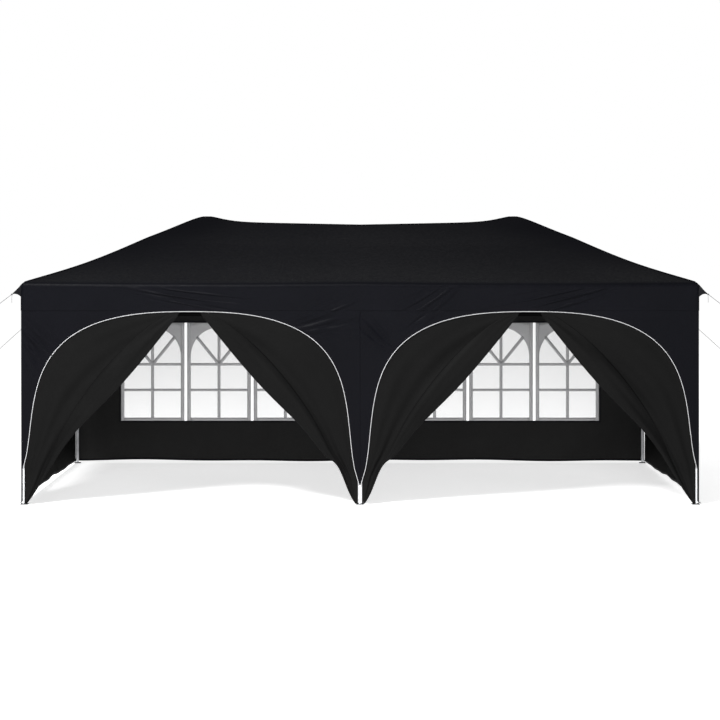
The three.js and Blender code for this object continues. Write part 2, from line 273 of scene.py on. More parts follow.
# ---------------------------------------------------------------- materials


class Nodes:
    """Short names for the nodes that the materials and the world are made of."""

    def __init__(self, block):
        block.use_nodes = True
        self.block = block
        self.new = block.node_tree.nodes.new
        self.link = block.node_tree.links.new
        self.named = block.node_tree.nodes

    def feed(self, socket, value):
        """Links a socket to another one, or sets it to a plain value."""
        if isinstance(value, bpy.types.NodeSocket):
            self.link(value, socket)
        elif value is not None:
            socket.default_value = value

    def place(self):
        return self.new("ShaderNodeTexCoord").outputs["Object"]

    def split(self, vector):
        node = self.new("ShaderNodeSeparateXYZ")
        self.link(vector, node.inputs[0])
        return node.outputs

    def cloth(self):
        """Metres along and across a piece."""
        parts = self.split(self.new("ShaderNodeUVMap").outputs["UV"])
        return parts["X"], parts["Y"]

    def math(self, operation, a, b=None):
        node = self.new("ShaderNodeMath")
        node.operation = operation
        self.feed(node.inputs[0], a)
        self.feed(node.inputs[1], b)
        return node.outputs[0]

    def times(self, a, b):
        return self.math("MULTIPLY", a, b)

    def wave(self, value, length):
        return self.math("SINE", self.times(value, 2 * math.pi / length))

    def noise(self, vector, scale, detail=3.0, roughness=0.5):
        node = self.new("ShaderNodeTexNoise")
        node.inputs["Scale"].default_value = scale
        node.inputs["Detail"].default_value = detail
        node.inputs["Roughness"].default_value = roughness
        self.link(vector, node.inputs["Vector"])
        return node.outputs["Fac"]

    def ramp(self, factor, *stops):
        """A colour ramp over (position, colour) stops, where a plain number is a grey."""
        node = self.new("ShaderNodeValToRGB")
        elements = node.color_ramp.elements
        while len(elements) < len(stops):
            elements.new(0.5)
        for element, (at, colour) in zip(elements, stops):
            element.position = at
            element.color = (*(colour if isinstance(colour, tuple) else (colour,) * 3), 1.0)
        self.link(factor, node.inputs["Fac"])
        return node.outputs["Color"]

    def mix(self, factor, a, b):
        node = self.new("ShaderNodeMix")
        node.data_type = "RGBA"
        self.feed(node.inputs["Factor"], factor)
        self.feed(node.inputs["A"], a)
        self.feed(node.inputs["B"], (*b, 1))
        return node.outputs["Result"]

    def bump(self, height, distance, strength, below=None):
        node = self.new("ShaderNodeBump")
        node.inputs["Strength"].default_value = strength
        node.inputs["Distance"].default_value = distance
        self.link(height, node.inputs["Height"])
        if below is not None:
            self.link(below, node.inputs["Normal"])
        return node.outputs["Normal"]

    def coat(self, **sockets):
        """Feeds the shader's sockets, with _ for each space in their names."""
        for name, value in sockets.items():
            self.feed(self.named["Principled BSDF"].inputs[name.replace("_", " ")], value)
        return self.block


def new_material(name):
    return Nodes(bpy.data.materials.new(name))


def shade(colour, factor):
    return tuple(c * factor for c in colour)


WEAVE = 0.0011                   # from thread to thread
DUST = (0.070, 0.066, 0.060)
DUST_TOP = 0.30


def fabric(name, colour, roughness, gloss, roof=1.0):
    """Woven polyester: threads, faint creases, uneven dye, dust near the ground. roof is how much
    of the colour's brightness is left above the eave: painted shade, darker on the roof where the
    lamps fall more strongly."""
    n = new_material(name)
    along, across = n.cloth()
    place = n.place()
    weave = n.times(n.wave(along, WEAVE), n.wave(across, WEAVE))
    cloudy = n.noise(place, 1.7, 4.0, 0.6)
    mottle = n.noise(place, 38.0, 4.0, 0.65)
    blend = n.math("ADD", n.times(cloudy, 0.6), n.times(mottle, 0.4))
    tone = n.ramp(blend, (0.30, shade(colour, 0.84)), (0.52, colour), (0.72, shade(colour, 1.20)))
    height = n.split(place)["Z"]
    near = n.math("MAXIMUM", n.times(n.math("SUBTRACT", DUST_TOP, height), 2.0), 0.0)
    tone = n.mix(n.times(near, n.times(mottle, 0.12)), tone, DUST)
    # Painted shade: above the eave the colour is darkened to roof of its brightness, so the roof, which
    # faces the lamps, comes out no darker-looking than the walls.
    if roof < 1:
        over = n.new("ShaderNodeMapRange")
        over.inputs["From Min"].default_value = EAVE_Z - 0.03
        over.inputs["From Max"].default_value = EAVE_Z + 0.03
        n.link(height, over.inputs["Value"])
        painted_roof_shade = n.new("ShaderNodeHueSaturation")
        painted_roof_shade.inputs["Value"].default_value = roof
        n.link(over.outputs["Result"], painted_roof_shade.inputs["Fac"])
        n.link(tone, painted_roof_shade.inputs["Color"])
        tone = painted_roof_shade.outputs["Color"]
    normal = n.bump(n.noise(place, 7.0, 5.0, 0.55), 0.006, 0.35)
    normal = n.bump(mottle, 0.0009, 0.35, normal)
    normal = n.bump(weave, 0.00022, 0.5, normal)
    rough = n.ramp(mottle, (0.3, roughness - 0.08), (0.7, roughness + 0.08))
    return n.coat(Base_Color=tone, Roughness=rough, Normal=normal, Specular_IOR_Level=gloss)


STITCH_ROW = 0.0042              # from the middle of a tape to each row of stitches
STITCH = 0.0045


def stitched(name, colour, thread):
    """A sewn tape: two rows of stitches run along it."""
    n = new_material(name)
    along, across = n.cloth()
    row = n.math("COMPARE", n.math("ABSOLUTE", across), STITCH_ROW)
    row.node.inputs[2].default_value = 0.0007
    stitch = n.times(row, n.math("GREATER_THAN", n.wave(along, STITCH), -0.45))
    grain = n.noise(n.new("ShaderNodeUVMap").outputs["UV"], 900.0)
    cloth = n.ramp(grain, (0.3, shade(colour, 0.8)), (0.7, shade(colour, 1.25)))
    normal = n.bump(stitch, 0.0005, 0.9, n.bump(grain, 0.0002, 0.5))
    return n.coat(Base_Color=n.mix(stitch, cloth, thread), Normal=normal, Roughness=0.6,
                  Specular_IOR_Level=0.08)


def zip_tape(name):
    """A pale zip: woven tape with a row of coil teeth along its middle."""
    n = new_material(name)
    along, across = n.cloth()
    coil = n.math("LESS_THAN", n.math("ABSOLUTE", across), 0.0032)
    teeth = n.times(coil, n.wave(along, 0.0026))
    tone = n.ramp(teeth, (0.0, (0.40, 0.40, 0.41)), (0.6, (0.56, 0.56, 0.57)))
    normal = n.bump(n.math("ADD", coil, teeth), 0.0006, 0.8)
    return n.coat(Base_Color=tone, Normal=normal, Roughness=0.42)


FOOT_PLATE = 0.0062              # top of an inner leg's foot plate


def silver_paint(name, footed=False):
    """Silver powder coat with fine sparkle, orange peel and rubbed patches. An inner leg is
    footed: its foot plate is blackened steel."""
    n = new_material(name)
    place = n.place()
    rub = n.noise(place, 16.0, 6.0, 0.7)
    blend = n.math("ADD", n.times(n.noise(place, 1400.0, 2.0), 0.5), n.times(rub, 0.5))
    tone = n.ramp(blend, (0.32, (0.50, 0.51, 0.53)), (0.50, (0.63, 0.64, 0.66)),
                  (0.68, (0.74, 0.75, 0.77)))
    if footed:
        foot = n.math("LESS_THAN", n.split(place)["Z"], FOOT_PLATE)
        tone = n.mix(foot, tone, (0.022, 0.022, 0.024))
    return n.coat(Base_Color=tone, Roughness=n.ramp(rub, (0.35, 0.30), (0.68, 0.46)),
                  Normal=n.bump(n.noise(place, 260.0), 0.0003, 0.25), Metallic=0.72, Coat_Weight=0.15)


def plastic(name, colour, roughness=0.5):
    """Moulded nylon with a fine spark-eroded grain and scuffs."""
    n = new_material(name)
    place = n.place()
    scuff = n.noise(place, 30.0, 6.0, 0.7)
    tone = n.ramp(scuff, (0.35, shade(colour, 0.85)), (0.60, colour), (0.78, shade(colour, 1.7)))
    return n.coat(Base_Color=tone, Normal=n.bump(n.noise(place, 900.0), 0.0002, 0.4),
                  Roughness=n.ramp(scuff, (0.3, roughness - 0.1), (0.7, roughness + 0.1)))


def film(name, alpha):
    """Clear PVC film, slightly milky, with shallow ripples."""
    n = new_material(name)
    place = n.place()
    haze = n.noise(place, 60.0, 4.0)
    tone = n.ramp(haze, (0.3, (0.42, 0.43, 0.44)), (0.7, (0.50, 0.50, 0.51)))
    return n.coat(Base_Color=tone, Roughness=n.ramp(haze, (0.3, 0.14), (0.7, 0.24)),
                  Normal=n.bump(n.noise(place, 5.0), 0.004, 0.4), Alpha=alpha)


def print_on_film(name, colour, alpha):
    n = new_material(name)
    speck = n.noise(n.place(), 220.0, 4.0, 0.7)
    tone = n.ramp(speck, (0.3, shade(colour, 0.88)), (0.7, shade(colour, 1.1)))
    return n.coat(Base_Color=tone, Normal=n.bump(speck, 0.0002, 0.3), Roughness=0.4, Alpha=alpha)


STRAND = 0.0042


def braid(name, colour, fleck):
    """Braided cord: strands cross in a diamond pattern, with a pale fleck."""
    n = new_material(name)
    along, across = n.cloth()
    strands = n.times(n.wave(n.math("ADD", along, across), STRAND),
                      n.wave(n.math("SUBTRACT", along, across), STRAND))
    tone = n.ramp(strands, (0.0, shade(colour, 0.6)), (0.5, colour), (0.92, fleck))
    return n.coat(Base_Color=tone, Normal=n.bump(strands, 0.0007, 0.8), Roughness=0.75,
                  Sheen_Weight=0.3)


# roof=0.55 darkens the canopy above the eave: painted shade on the roof.
CANOPY_BLACK = fabric("canopy_polyester", (0.0028, 0.0029, 0.0042), 0.44, 0.028, roof=0.55)
DOOR_BLACK = fabric("door_polyester", (0.0046, 0.0046, 0.0046), 0.56, 0.026)
# Painted shade: the end walls are made darker than the rest of the cloth, standing in for the shade on
# their inner faces inside the gazebo.
END_WALL_PAINTED_SHADE = fabric("end_wall_painted_shade_polyester", (0.0022, 0.0022, 0.0022), 0.70, 0.010)
# Painted shade: the header is near black, a dark strip standing in for the shade at the top of each
# doorway.
HEADER_PAINTED_SHADE = fabric("header_painted_shade_polyester", (0.0010, 0.0010, 0.0010), 0.75, 0.006)
# Painted light: the back wall is made paler than the door leaves' cloth, standing in for the light that
# reaches it inside the gazebo.
BACK_WALL_PAINTED_LIGHT = fabric("back_wall_painted_light_polyester", (0.0150, 0.0150, 0.0150), 0.60, 0.030)
SEAM = stitched("seam_tape", (0.0030, 0.0031, 0.0044), (0.012, 0.012, 0.014))
WEBBING = stitched("webbing", (0.0040, 0.0040, 0.0050), (0.016, 0.016, 0.018))
ZIP = zip_tape("zip_tape")
SILVER = silver_paint("silver_powder_coat")
FOOTED = silver_paint("silver_leg_on_black_foot", footed=True)
NYLON = plastic("grey_nylon", (0.045, 0.046, 0.050))
STEEL = plastic("peg_steel", (0.02, 0.02, 0.022), 0.4)
PANE = film("window_film", 0.20)
GAP_FILM = film("window_gap_film", 0.03)
PRINT = print_on_film("window_print", (0.45, 0.45, 0.46), 0.78)
CORD = braid("guy_cord", (0.022, 0.022, 0.024), (0.10, 0.10, 0.105))

# ---------------------------------------------------------------- riding


def hook_by(piece, body, weights):
    """Part of a body's movement is added to the piece, vertex by vertex."""
    group = piece.vertex_groups.new(name=f"by_{body}")
    levels = np.round(np.clip(weights, 0, 1), 4)
    for level in np.unique(levels):
        if level > 0:
            group.add(np.flatnonzero(levels == level).tolist(), float(level), "REPLACE")
    hook = piece.modifiers.new(f"by_{body}", "HOOK")
    hook.object = frame["bodies"][body]
    hook.vertex_group = group.name
    hook.falloff_type = "NONE"
    hook.matrix_inverse = frame["bodies"][body].matrix_world.inverted() @ piece.matrix_world


def mesh_points(piece):
    return np.array([v.co for v in piece.data.vertices])


def keep_overhang(piece, row):
    """Cloth outside the corner legs keeps its distance from them. The leg at the other side moves
    just as far the other way, so it carries the overhang out."""
    x = mesh_points(piece)[:, 0]
    hook_by(piece, f"{row}_left_leg", np.maximum(x - LEG_X, 0) / LEG_X)
    hook_by(piece, f"{row}_right_leg", np.maximum(-x - LEG_X, 0) / LEG_X)


def gather(piece, body, slot):
    """Cloth that rides on a leg."""
    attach(piece, body)
    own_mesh(piece)


def on_front(piece, slot="wall_fabric"):
    gather(piece, "front_centre_leg", slot)
    keep_overhang(piece, "front")


def on_back(piece, slot="wall_fabric"):
    gather(piece, "back_centre_leg", slot)
    keep_overhang(piece, "back")


def on_end(piece, side, slot="wall_fabric"):
    """An end wall rides on its front leg. Its anchor lies further back by the overhang, and the back
    leg brings all but the back edge forward again."""
    name = side_name(side)
    overhang = WALL_Y - LEG_Y
    gather(piece, f"front_{name}_leg", slot)
    y = mesh_points(piece)[:, 1]
    shift = overhang - np.clip(y - LEG_Y, 0, overhang) + np.maximum(-y - LEG_Y, 0)
    hook_by(piece, f"back_{name}_leg", shift / (2 * LEG_Y))


def peak_share(z):
    return np.clip((z - EAVE_Z) / (PEAK_Z - EAVE_Z), 0, 1)


def on_canopy(piece):
    """The canopy rides on the front centre leg. The back legs and the peak poles carry it along in Y
    and Z, each by its share of the weight."""
    gather(piece, "front_centre_leg", "canopy_fabric")
    points = mesh_points(piece)
    peak = peak_share(points[:, 2])
    back = (points[:, 1] + LEG_Y) / (2 * LEG_Y) - peak / 2
    hook_by(piece, "peak_pole_left", peak / 2)
    hook_by(piece, "peak_pole_right", peak / 2)
    hook_by(piece, "back_centre_leg", back)
    keep_overhang(piece, "front")


# ---------------------------------------------------------------- wrinkles


def streaks(u, z, marks):
    """Sum of long soft ridges: each mark is (u, z, degrees, half length, half width, height)."""
    total = np.zeros_like(u)
    for cu, cz, degrees, long, wide, high in marks:
        t = math.radians(degrees)
        along = (u - cu) * math.cos(t) + (z - cz) * math.sin(t)
        across = -(u - cu) * math.sin(t) + (z - cz) * math.cos(t)
        total += high * np.exp(-(along / long) ** 2) * np.exp(-(across / wide) ** 2)
    return total


def ripples(u, z, height, count=9, low=1.5, high=7.0, seed=3):
    """Gentle unevenness of hung cloth, mostly upright waves."""
    draw = np.random.default_rng(seed)
    total = np.zeros_like(u)
    for _ in range(count):
        ku = draw.uniform(low, high)
        kz = draw.uniform(-0.35, 0.35) * ku
        total += draw.uniform(0.4, 1.0) * np.sin(ku * u + kz * z + draw.uniform(0, 6.28))
    return height * total / count


def fan(u, z, centre, degrees, long, wide, high, gap=0.030):
    """Pulled folds side by side: ridges and hollows by turns, fading out along and across."""
    t = math.radians(degrees)
    along = (u - centre[0]) * math.cos(t) + (z - centre[1]) * math.sin(t)
    across = -(u - centre[0]) * math.sin(t) + (z - centre[1]) * math.cos(t)
    sway = 0.35 * gap * np.sin(2.2 * along / long + 9 * across / wide)
    across = across * (1 + 0.35 * along / long) + sway
    drift = along - 0.45 * long * np.sin(2.3 * across / gap + centre[0])
    wave = np.cos(math.pi * across / gap)
    ridge = np.sign(wave) * np.abs(wave) ** 1.3
    return high * ridge * np.exp(-(drift / long) ** 2 - (across / wide) ** 2)


ARCH_MIDDLE = 1.52


def left_marks(u, z):
    """Over the left doorway. u runs from the centre leg outwards."""
    eave = streaks(u, z, [(ARCH_MIDDLE + 0.12, EAVE_Z - 0.020, 0, 0.62, 0.011, 0.0100)])
    over_arch = fan(u, z, (ARCH_MIDDLE, EAVE_Z - 0.125), 10, 0.34, 0.080, 0.0125, 0.026)
    by_centre = fan(u, z, (0.30, 1.585), -14, 0.22, 0.110, 0.0125, 0.032)
    by_corner = fan(u, z, (2.82, 1.400), 49, 0.20, 0.120, 0.0120, 0.036)
    return eave + over_arch + by_centre + by_corner


def right_marks(u, z):
    """Over the right doorway."""
    eave = streaks(u, z, [(ARCH_MIDDLE - 0.06, EAVE_Z - 0.020, 0, 0.80, 0.011, 0.0095)])
    over_arch = fan(u, z, (ARCH_MIDDLE + 0.24, EAVE_Z - 0.140), 16, 0.36, 0.090, 0.0120, 0.028)
    rising = fan(u, z, (0.64, EAVE_Z - 0.150), 38, 0.20, 0.100, 0.0120, 0.033)
    by_centre = fan(u, z, (0.13, 1.480), -43, 0.15, 0.090, 0.0115, 0.033)
    return eave + over_arch + rising + by_centre


def front_marks(x, z):
    return np.where(x < 0, left_marks(-x, z), right_marks(x, z))


# ---------------------------------------------------------------- canopy


def ridge_height(x):
    inward = PEAK_X - np.abs(x)
    inward = np.maximum(inward, 0)
    near = RIDGE_DROP * (1 - np.exp(-(inward / RIDGE_DROP_LENGTH) ** 1.3))
    return PEAK_Z - near - RIDGE_SLOPE * inward / PEAK_X


def eave_outline():
    """The eave as (x, y, outward x, outward y, ridge x) at even steps, counter-clockwise."""
    points = []
    straight_x = np.linspace(-1, 1, 281) * (CANOPY_X - EAVE_ROUND)
    straight_y = np.linspace(-1, 1, 141) * (CANOPY_Y - EAVE_ROUND)
    ridge_scale = PEAK_X / (CANOPY_X - EAVE_ROUND)
    turns = np.radians([15, 30, 45, 60, 75])

    def corner(sx, sy, start):
        for t in turns + start:
            ox, oy = math.cos(t), math.sin(t)
            x = sx * (CANOPY_X - EAVE_ROUND) + EAVE_ROUND * ox
            y = sy * (CANOPY_Y - EAVE_ROUND) + EAVE_ROUND * oy
            points.append((x, y, ox, oy, sx * PEAK_X))

    points += [(x, -CANOPY_Y, 0, -1, x * ridge_scale) for x in straight_x]
    corner(1, -1, -math.pi / 2)
    points += [(CANOPY_X, y, 1, 0, PEAK_X) for y in straight_y]
    corner(1, 1, 0)
    points += [(x, CANOPY_Y, 0, 1, x * ridge_scale) for x in straight_x[::-1]]
    corner(-1, 1, math.pi / 2)
    points += [(-CANOPY_X, y, -1, 0, -PEAK_X) for y in straight_y[::-1]]
    corner(-1, -1, math.pi)
    return np.array(points)


def hip_distance(outline):
    """How far each eave point is from the nearest corner, along the eave."""
    dx = CANOPY_X - np.abs(outline[:, 0])
    dy = CANOPY_Y - np.abs(outline[:, 1])
    return np.maximum(dx, dy)


def eave_level(outline):
    """The eave hangs a little between the legs."""
    x, y = outline[:, 0], outline[:, 1]
    along_front = np.abs(np.sin(math.pi * x / LEG_X)) * (np.abs(outline[:, 3]) > 0.5)
    along_end = np.cos(math.pi * y / (2 * LEG_Y)) * (np.abs(outline[:, 2]) > 0.5)
    return EAVE_Z - 0.010 * np.maximum(along_front, along_end)


def roof_ring(outline, share, start):
    """A ring of roof points: share 0 is the rounded eave, share 1 the ridge."""
    ridge = np.stack([outline[:, 4], np.zeros(len(outline)), ridge_height(outline[:, 4])], axis=1)
    ring = start * (1 - share) + ridge * share
    away = 1 - np.exp(-hip_distance(outline) / 0.45)
    belly = 4 * share * (1 - share)
    hip = np.sin(math.pi * min(share / 0.66, 1.0)) ** 1.2
    ring[:, 2] -= HIP_SAG * hip * (1 - 0.55 * away) + 0.016 * belly * away
    ring[:, 2] += 0.006 * np.sin(3.1 * ring[:, 0] + 1.2) * belly * away
    return ring


def round_peaks(points):
    """The poles' round caps round off each peak; the cloth is a plain slope again further down."""
    below = np.maximum(PEAK_Z - points[..., 2], 0)
    rounded = np.sqrt(below ** 2 + CAP_ROUND ** 2) - CAP_ROUND
    fade = np.exp(-(below / CAP_FADE) ** 2)
    points[..., 2] = PEAK_Z - below + (below - rounded) * fade
    return points


def roof_shares():
    low = np.linspace(0, 0.9, 34)
    high = 1 - 0.1 * (1 - np.linspace(0, 1, 9)[1:]) ** 1.4
    return np.concatenate([low[1:], high])


VALANCE_PROFILE = [
    (-0.042, 0.0155), (-0.026, 0.0088), (-0.013, 0.0010), (-0.0045, -0.0100), (0.0, -0.026),
]


def build_canopy():
    outline = eave_outline()
    level = eave_level(outline)
    out = np.stack([outline[:, 2], outline[:, 3], np.zeros(len(outline))], axis=1)
    base = np.stack([outline[:, 0], outline[:, 1], level], axis=1)
    along = lengths_along(base)
    rows, v = [], []

    drop = EAVE_Z - HEM_Z
    for depth in np.linspace(drop, 0.038, 40):
        ring = base.copy()
        ring[:, 2] = np.where(depth > 0.2, EAVE_Z - depth, level - depth * (level - HEM_Z) / drop)
        wave = ripples(along, ring[:, 2], 0.0045, seed=5) * min(1.0, depth / 0.1)
        front = np.abs(outline[:, 3]) > 0.5
        share = np.where(outline[:, 3] < 0, 1.0, 0.4)
        crease = share * front_marks(outline[:, 0], ring[:, 2])
        side_mark = streaks(np.abs(outline[:, 1]), ring[:, 2], [
            (1.2, 1.86, 28, 0.2, 0.016, 0.004), (1.05, 1.80, 30, 0.2, 0.016, -0.003),
            (0.3, 1.90, 3, 0.5, 0.012, 0.004), (0.5, 1.78, -8, 0.3, 0.015, 0.004)])
        crease = np.where(front, crease, side_mark)
        ring = ring + out * (wave + crease)[:, None]
        rows.append(ring)
        v.append(-depth)
    for inward, rise in reversed(VALANCE_PROFILE):
        ring = base + out * inward
        ring[:, 2] = level + rise
        rows.append(ring)
        v.append(inward)
    start = rows[-1].copy()
    for share in roof_shares():
        rows.append(roof_ring(outline, share, start))
        v.append(share * CANOPY_Y)
    points = round_peaks(np.array(rows))
    uv = np.stack([np.broadcast_to(along, points.shape[:2]),
                   np.broadcast_to(np.array(v)[:, None], points.shape[:2])], axis=2)
    mesh = mesh_from_grid("canopy_cloth", points, uv, wrap=True)
    clean(mesh, 2e-4)
    piece = new_object("canopy_cloth", mesh, CANOPY_BLACK)
    thicken(piece, CLOTH, -1.0)
    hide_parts("canopy")
    on_canopy(piece)
    return outline, start


def roof_line(outline, start, column, count=60):
    """Points up the roof from one eave column to the ridge."""
    shares = np.linspace(0.0, 1.0, count)
    return round_peaks(np.array([roof_ring(outline, s, start)[column] for s in shares]))


def build_canopy_seams(outline, start):
    """Felled seams up the hips and along the ridge."""
    corner_columns = [i for i in range(len(outline))
                      if abs(abs(outline[i, 2]) - abs(outline[i, 3])) < 1e-3]
    pieces = []
    for k, column in enumerate(corner_columns):
        line = roof_line(outline, start, column)[:-1]
        heading = unit(line[-1] - line[0])
        across = np.cross(heading, (0, 0, 1))
        out = np.cross(across, heading)
        pieces.append(closed_strip(f"hip_seam_{k}", line + unit(out) * 0.0002, across, out,
                                   0.014, 0.0012, SEAM))
    x = np.linspace(-PEAK_X + 0.03, PEAK_X - 0.03, 150)
    ridge = round_peaks(np.stack([x, np.zeros_like(x), ridge_height(x) + 0.0002], axis=1))
    pieces.append(closed_strip("ridge_seam", ridge, (0, 1, 0), (0, 0, 1), 0.016, 0.0012, SEAM))
    seams = merge("canopy_seams", pieces)
    on_canopy(seams)


# ---------------------------------------------------------------- front walls


def arch_half(z, flare):
    shape = np.clip(1 - (z / ARCH_TOP) ** ARCH_POWER, 0, 1)
    return (ARCH_HALF - ARCH_TAPER * z + flare * np.exp(-z / FLARE_HIGH)) * shape ** ARCH_ROUND


def arch_side(foot_z, count, flare):
    """Points (offset from the arch's middle, z) from a foot up to the crown."""
    turn = np.linspace(0.0, math.pi / 2, 600)
    z = ARCH_TOP * np.sin(turn) ** (2 / ARCH_POWER)
    z = foot_z + (z - z[0]) * (ARCH_TOP - foot_z) / (ARCH_TOP - z[0])
    w = arch_half(z, flare)
    w[-1] = 0
    return resample(np.stack([w, z], axis=1), count)


CORNER_TIP_Z = 0.31
CENTRE_TIP_Z = 0.17
INNER_EDGE = ARCH_CENTRE - 0.0015
PANEL_Y = WALL_Y + 0.0026
# The margin along the arch brings it over that floor.
CUT_MARGIN = 0.055


def polygon_area(points):
    x, y = points[:, 0], points[:, 1]
    return 0.5 * abs(np.dot(x, np.roll(y, -1)) - np.dot(y, np.roll(x, -1)))


def panel_depth(x, z):
    """Where the cloth round the doorways lies in Y. It is still at the canopy's hem."""
    free = np.clip((HEM_Z - z) / 0.06, 0, 1)
    return -PANEL_Y - (front_marks(x, z) + ripples(np.abs(x), z, 0.0040, seed=11)) * free


def build_front_panel(side):
    """The black cloth round a doorway's arch. u runs from the centre leg outwards."""
    name = side_name(side)
    outer = arch_side(CORNER_TIP_Z, 150, CORNER_FLARE)
    inner = arch_side(CENTRE_TIP_Z, 150, CENTRE_FLARE)
    inner[:, 0] = np.minimum(inner[:, 0], INNER_EDGE - 0.003)
    arch = np.concatenate([
        np.stack([ARCH_CENTRE + outer[:, 0], outer[:, 1]], axis=1),
        np.stack([ARCH_CENTRE - inner[::-1, 0], inner[::-1, 1]], axis=1)[1:],
    ])
    corner_u = WALL_END_X - 0.0005
    boundary = np.array([
        [corner_u, CORNER_TIP_Z], [corner_u, WALL_TOP], [0.0003, WALL_TOP], [0.0003, CENTRE_TIP_Z],
    ])
    edge = edge_matching(arch, boundary)
    steps = 64
    share = (np.linspace(0, 1, steps) ** 1.15)[:, None, None]
    flat = arch[None] * (1 - share) + edge[None] * share
    u, z = flat[..., 0], flat[..., 1]
    depth = panel_depth(side * u, z)
    points = np.stack([side * u, depth, z], axis=2)
    uv = np.stack([u, z], axis=2)
    mesh = mesh_from_grid(f"front_panel_{name}", points, uv)
    clean(mesh, 1e-5)
    piece = new_object(f"front_panel_{name}", mesh, CANOPY_BLACK)
    thicken(piece, CLOTH)
    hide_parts(f"front_wall_{name}")
    on_front(piece)
    cut = polygon_area(np.concatenate([arch, boundary[::-1]])) + CUT_MARGIN * lengths_along(arch)[-1]
    return arch


def edge_matching(arch, boundary):
    """A boundary point for each arch point: the boundary is walked at the arch's own pace, with
    its corners kept as points."""
    at = lengths_along(arch) / lengths_along(arch)[-1]
    left_corner, right_corner = 0.36, 0.64
    out = np.empty_like(arch)
    for i, t in enumerate(at):
        if t < left_corner:
            a, b, s = boundary[0], boundary[1], t / left_corner
        elif t < right_corner:
            a, b, s = boundary[1], boundary[2], (t - left_corner) / (right_corner - left_corner)
        else:
            a, b, s = boundary[2], boundary[3], (t - right_corner) / (1 - right_corner)
        out[i] = a + (b - a) * s
    for corner, t in ((1, left_corner), (2, right_corner)):
        out[np.argmin(np.abs(at - t))] = boundary[corner]
    return out


def build_zip(side, arch):
    name = side_name(side)
    line = resample(arch, 320)
    step = unit(np.gradient(line, axis=0))
    u, z = line[:, 0], line[:, 1]
    depth = panel_depth(side * u, z) - 0.0008
    path = np.stack([side * u, depth, z], axis=1)
    across = np.stack([side * -step[:, 1], np.zeros(len(step)), step[:, 0]], axis=1)
    piece = closed_strip(f"door_zip_{name}", path, across, (0, -1, 0), ZIP_WIDE, 0.0022, ZIP)
    on_front(piece, "zip_tape")


LEAF_FOOT_Z = 0.008
LEAF_CROWN = 0.10                # a free edge starts this far from the arch's middle
OUTER_REACH = 1.318              # and ends this much further out
INNER_REACH = 1.339
OUTER_LIMIT = 1.438              # the furthest that a leaf's rim lies from the arch's middle
INNER_LIMIT = 1.4605
EDGE_TOP = 1.650                 # height of the free edge at the crown, and its fall to the foot
EDGE_FALL = 1.640
TURNED_BACK = 0.31               # widest part of the edge that is folded over


def leaf_depth(v, s, gap_side):
    """How far a leaf stands in from its rim's plane: v is 0 at the rim and 1 at the free edge."""
    swell = np.sin(math.pi * s) ** 0.8
    wiggle = 0.35 * np.sin(4.0 * s + 0.8 * gap_side)
    folds = (0.021 * np.cos(2 * math.pi * (1.55 * v + 0.5 * wiggle)) +
             0.011 * np.cos(2 * math.pi * (3.4 * v - 0.9 * wiggle) + 1.0))
    return swell * (0.020 * v + 1.6 * folds * v * (1 - 0.4 * v))


def free_edge(s, towards):
    """The drawn-aside edge of a door leaf, from the crown (s 0) to the foot (s 1)."""
    lift = 0.1 * np.sin(math.pi * s ** 2) ** 2
    if towards < 0:
        lift = lift + 0.13 * np.exp(-((s - 0.9) / 0.07) ** 2) * (1 - s ** 12)
    reach = OUTER_REACH if towards > 0 else INNER_REACH
    return np.stack([LEAF_CROWN + reach * s, EDGE_TOP - EDGE_FALL * s + lift], axis=-1)


def build_centre_tape():
    """The tape that closes the joint of the two front panels, in front of the centre leg."""
    z = np.linspace(CENTRE_TIP_Z, HEM_Z + 0.02, 90)
    path = np.stack([np.zeros_like(z), panel_depth(0 * z, z) - 0.0007, z], axis=1)
    on_front(closed_strip("front_centre_tape", path, (1, 0, 0), (0, -1, 0), 0.010, 0.0006, CANOPY_BLACK))


def build_header(side):
    """The storm tape behind the crown of a door's zip, near black: painted shade that hides the frame bars
    in the top of the doorway.
    """
    name = side_name(side)
    offset = np.linspace(-0.30, 0.30, 60)
    out_share = np.abs(offset) / (ARCH_HALF - ARCH_TAPER * ARCH_TOP)
    crown = ARCH_TOP * (1 - out_share ** (1 / ARCH_ROUND)) ** (1 / ARCH_POWER)
    hang = np.linspace(0.012, -0.040, 9)[:, None]
    z = crown[None] + hang
    u = np.broadcast_to(ARCH_CENTRE + offset, z.shape)
    depth = -WALL_Y + 0.0075 + 0.0006 * np.sin(30 * u + 8 * z)
    points = np.stack([side * u, depth, z], axis=2)
    piece = thin_piece(f"door_header_{name}", points, u, z, HEADER_PAINTED_SHADE, CLOTH)
    on_front(piece)


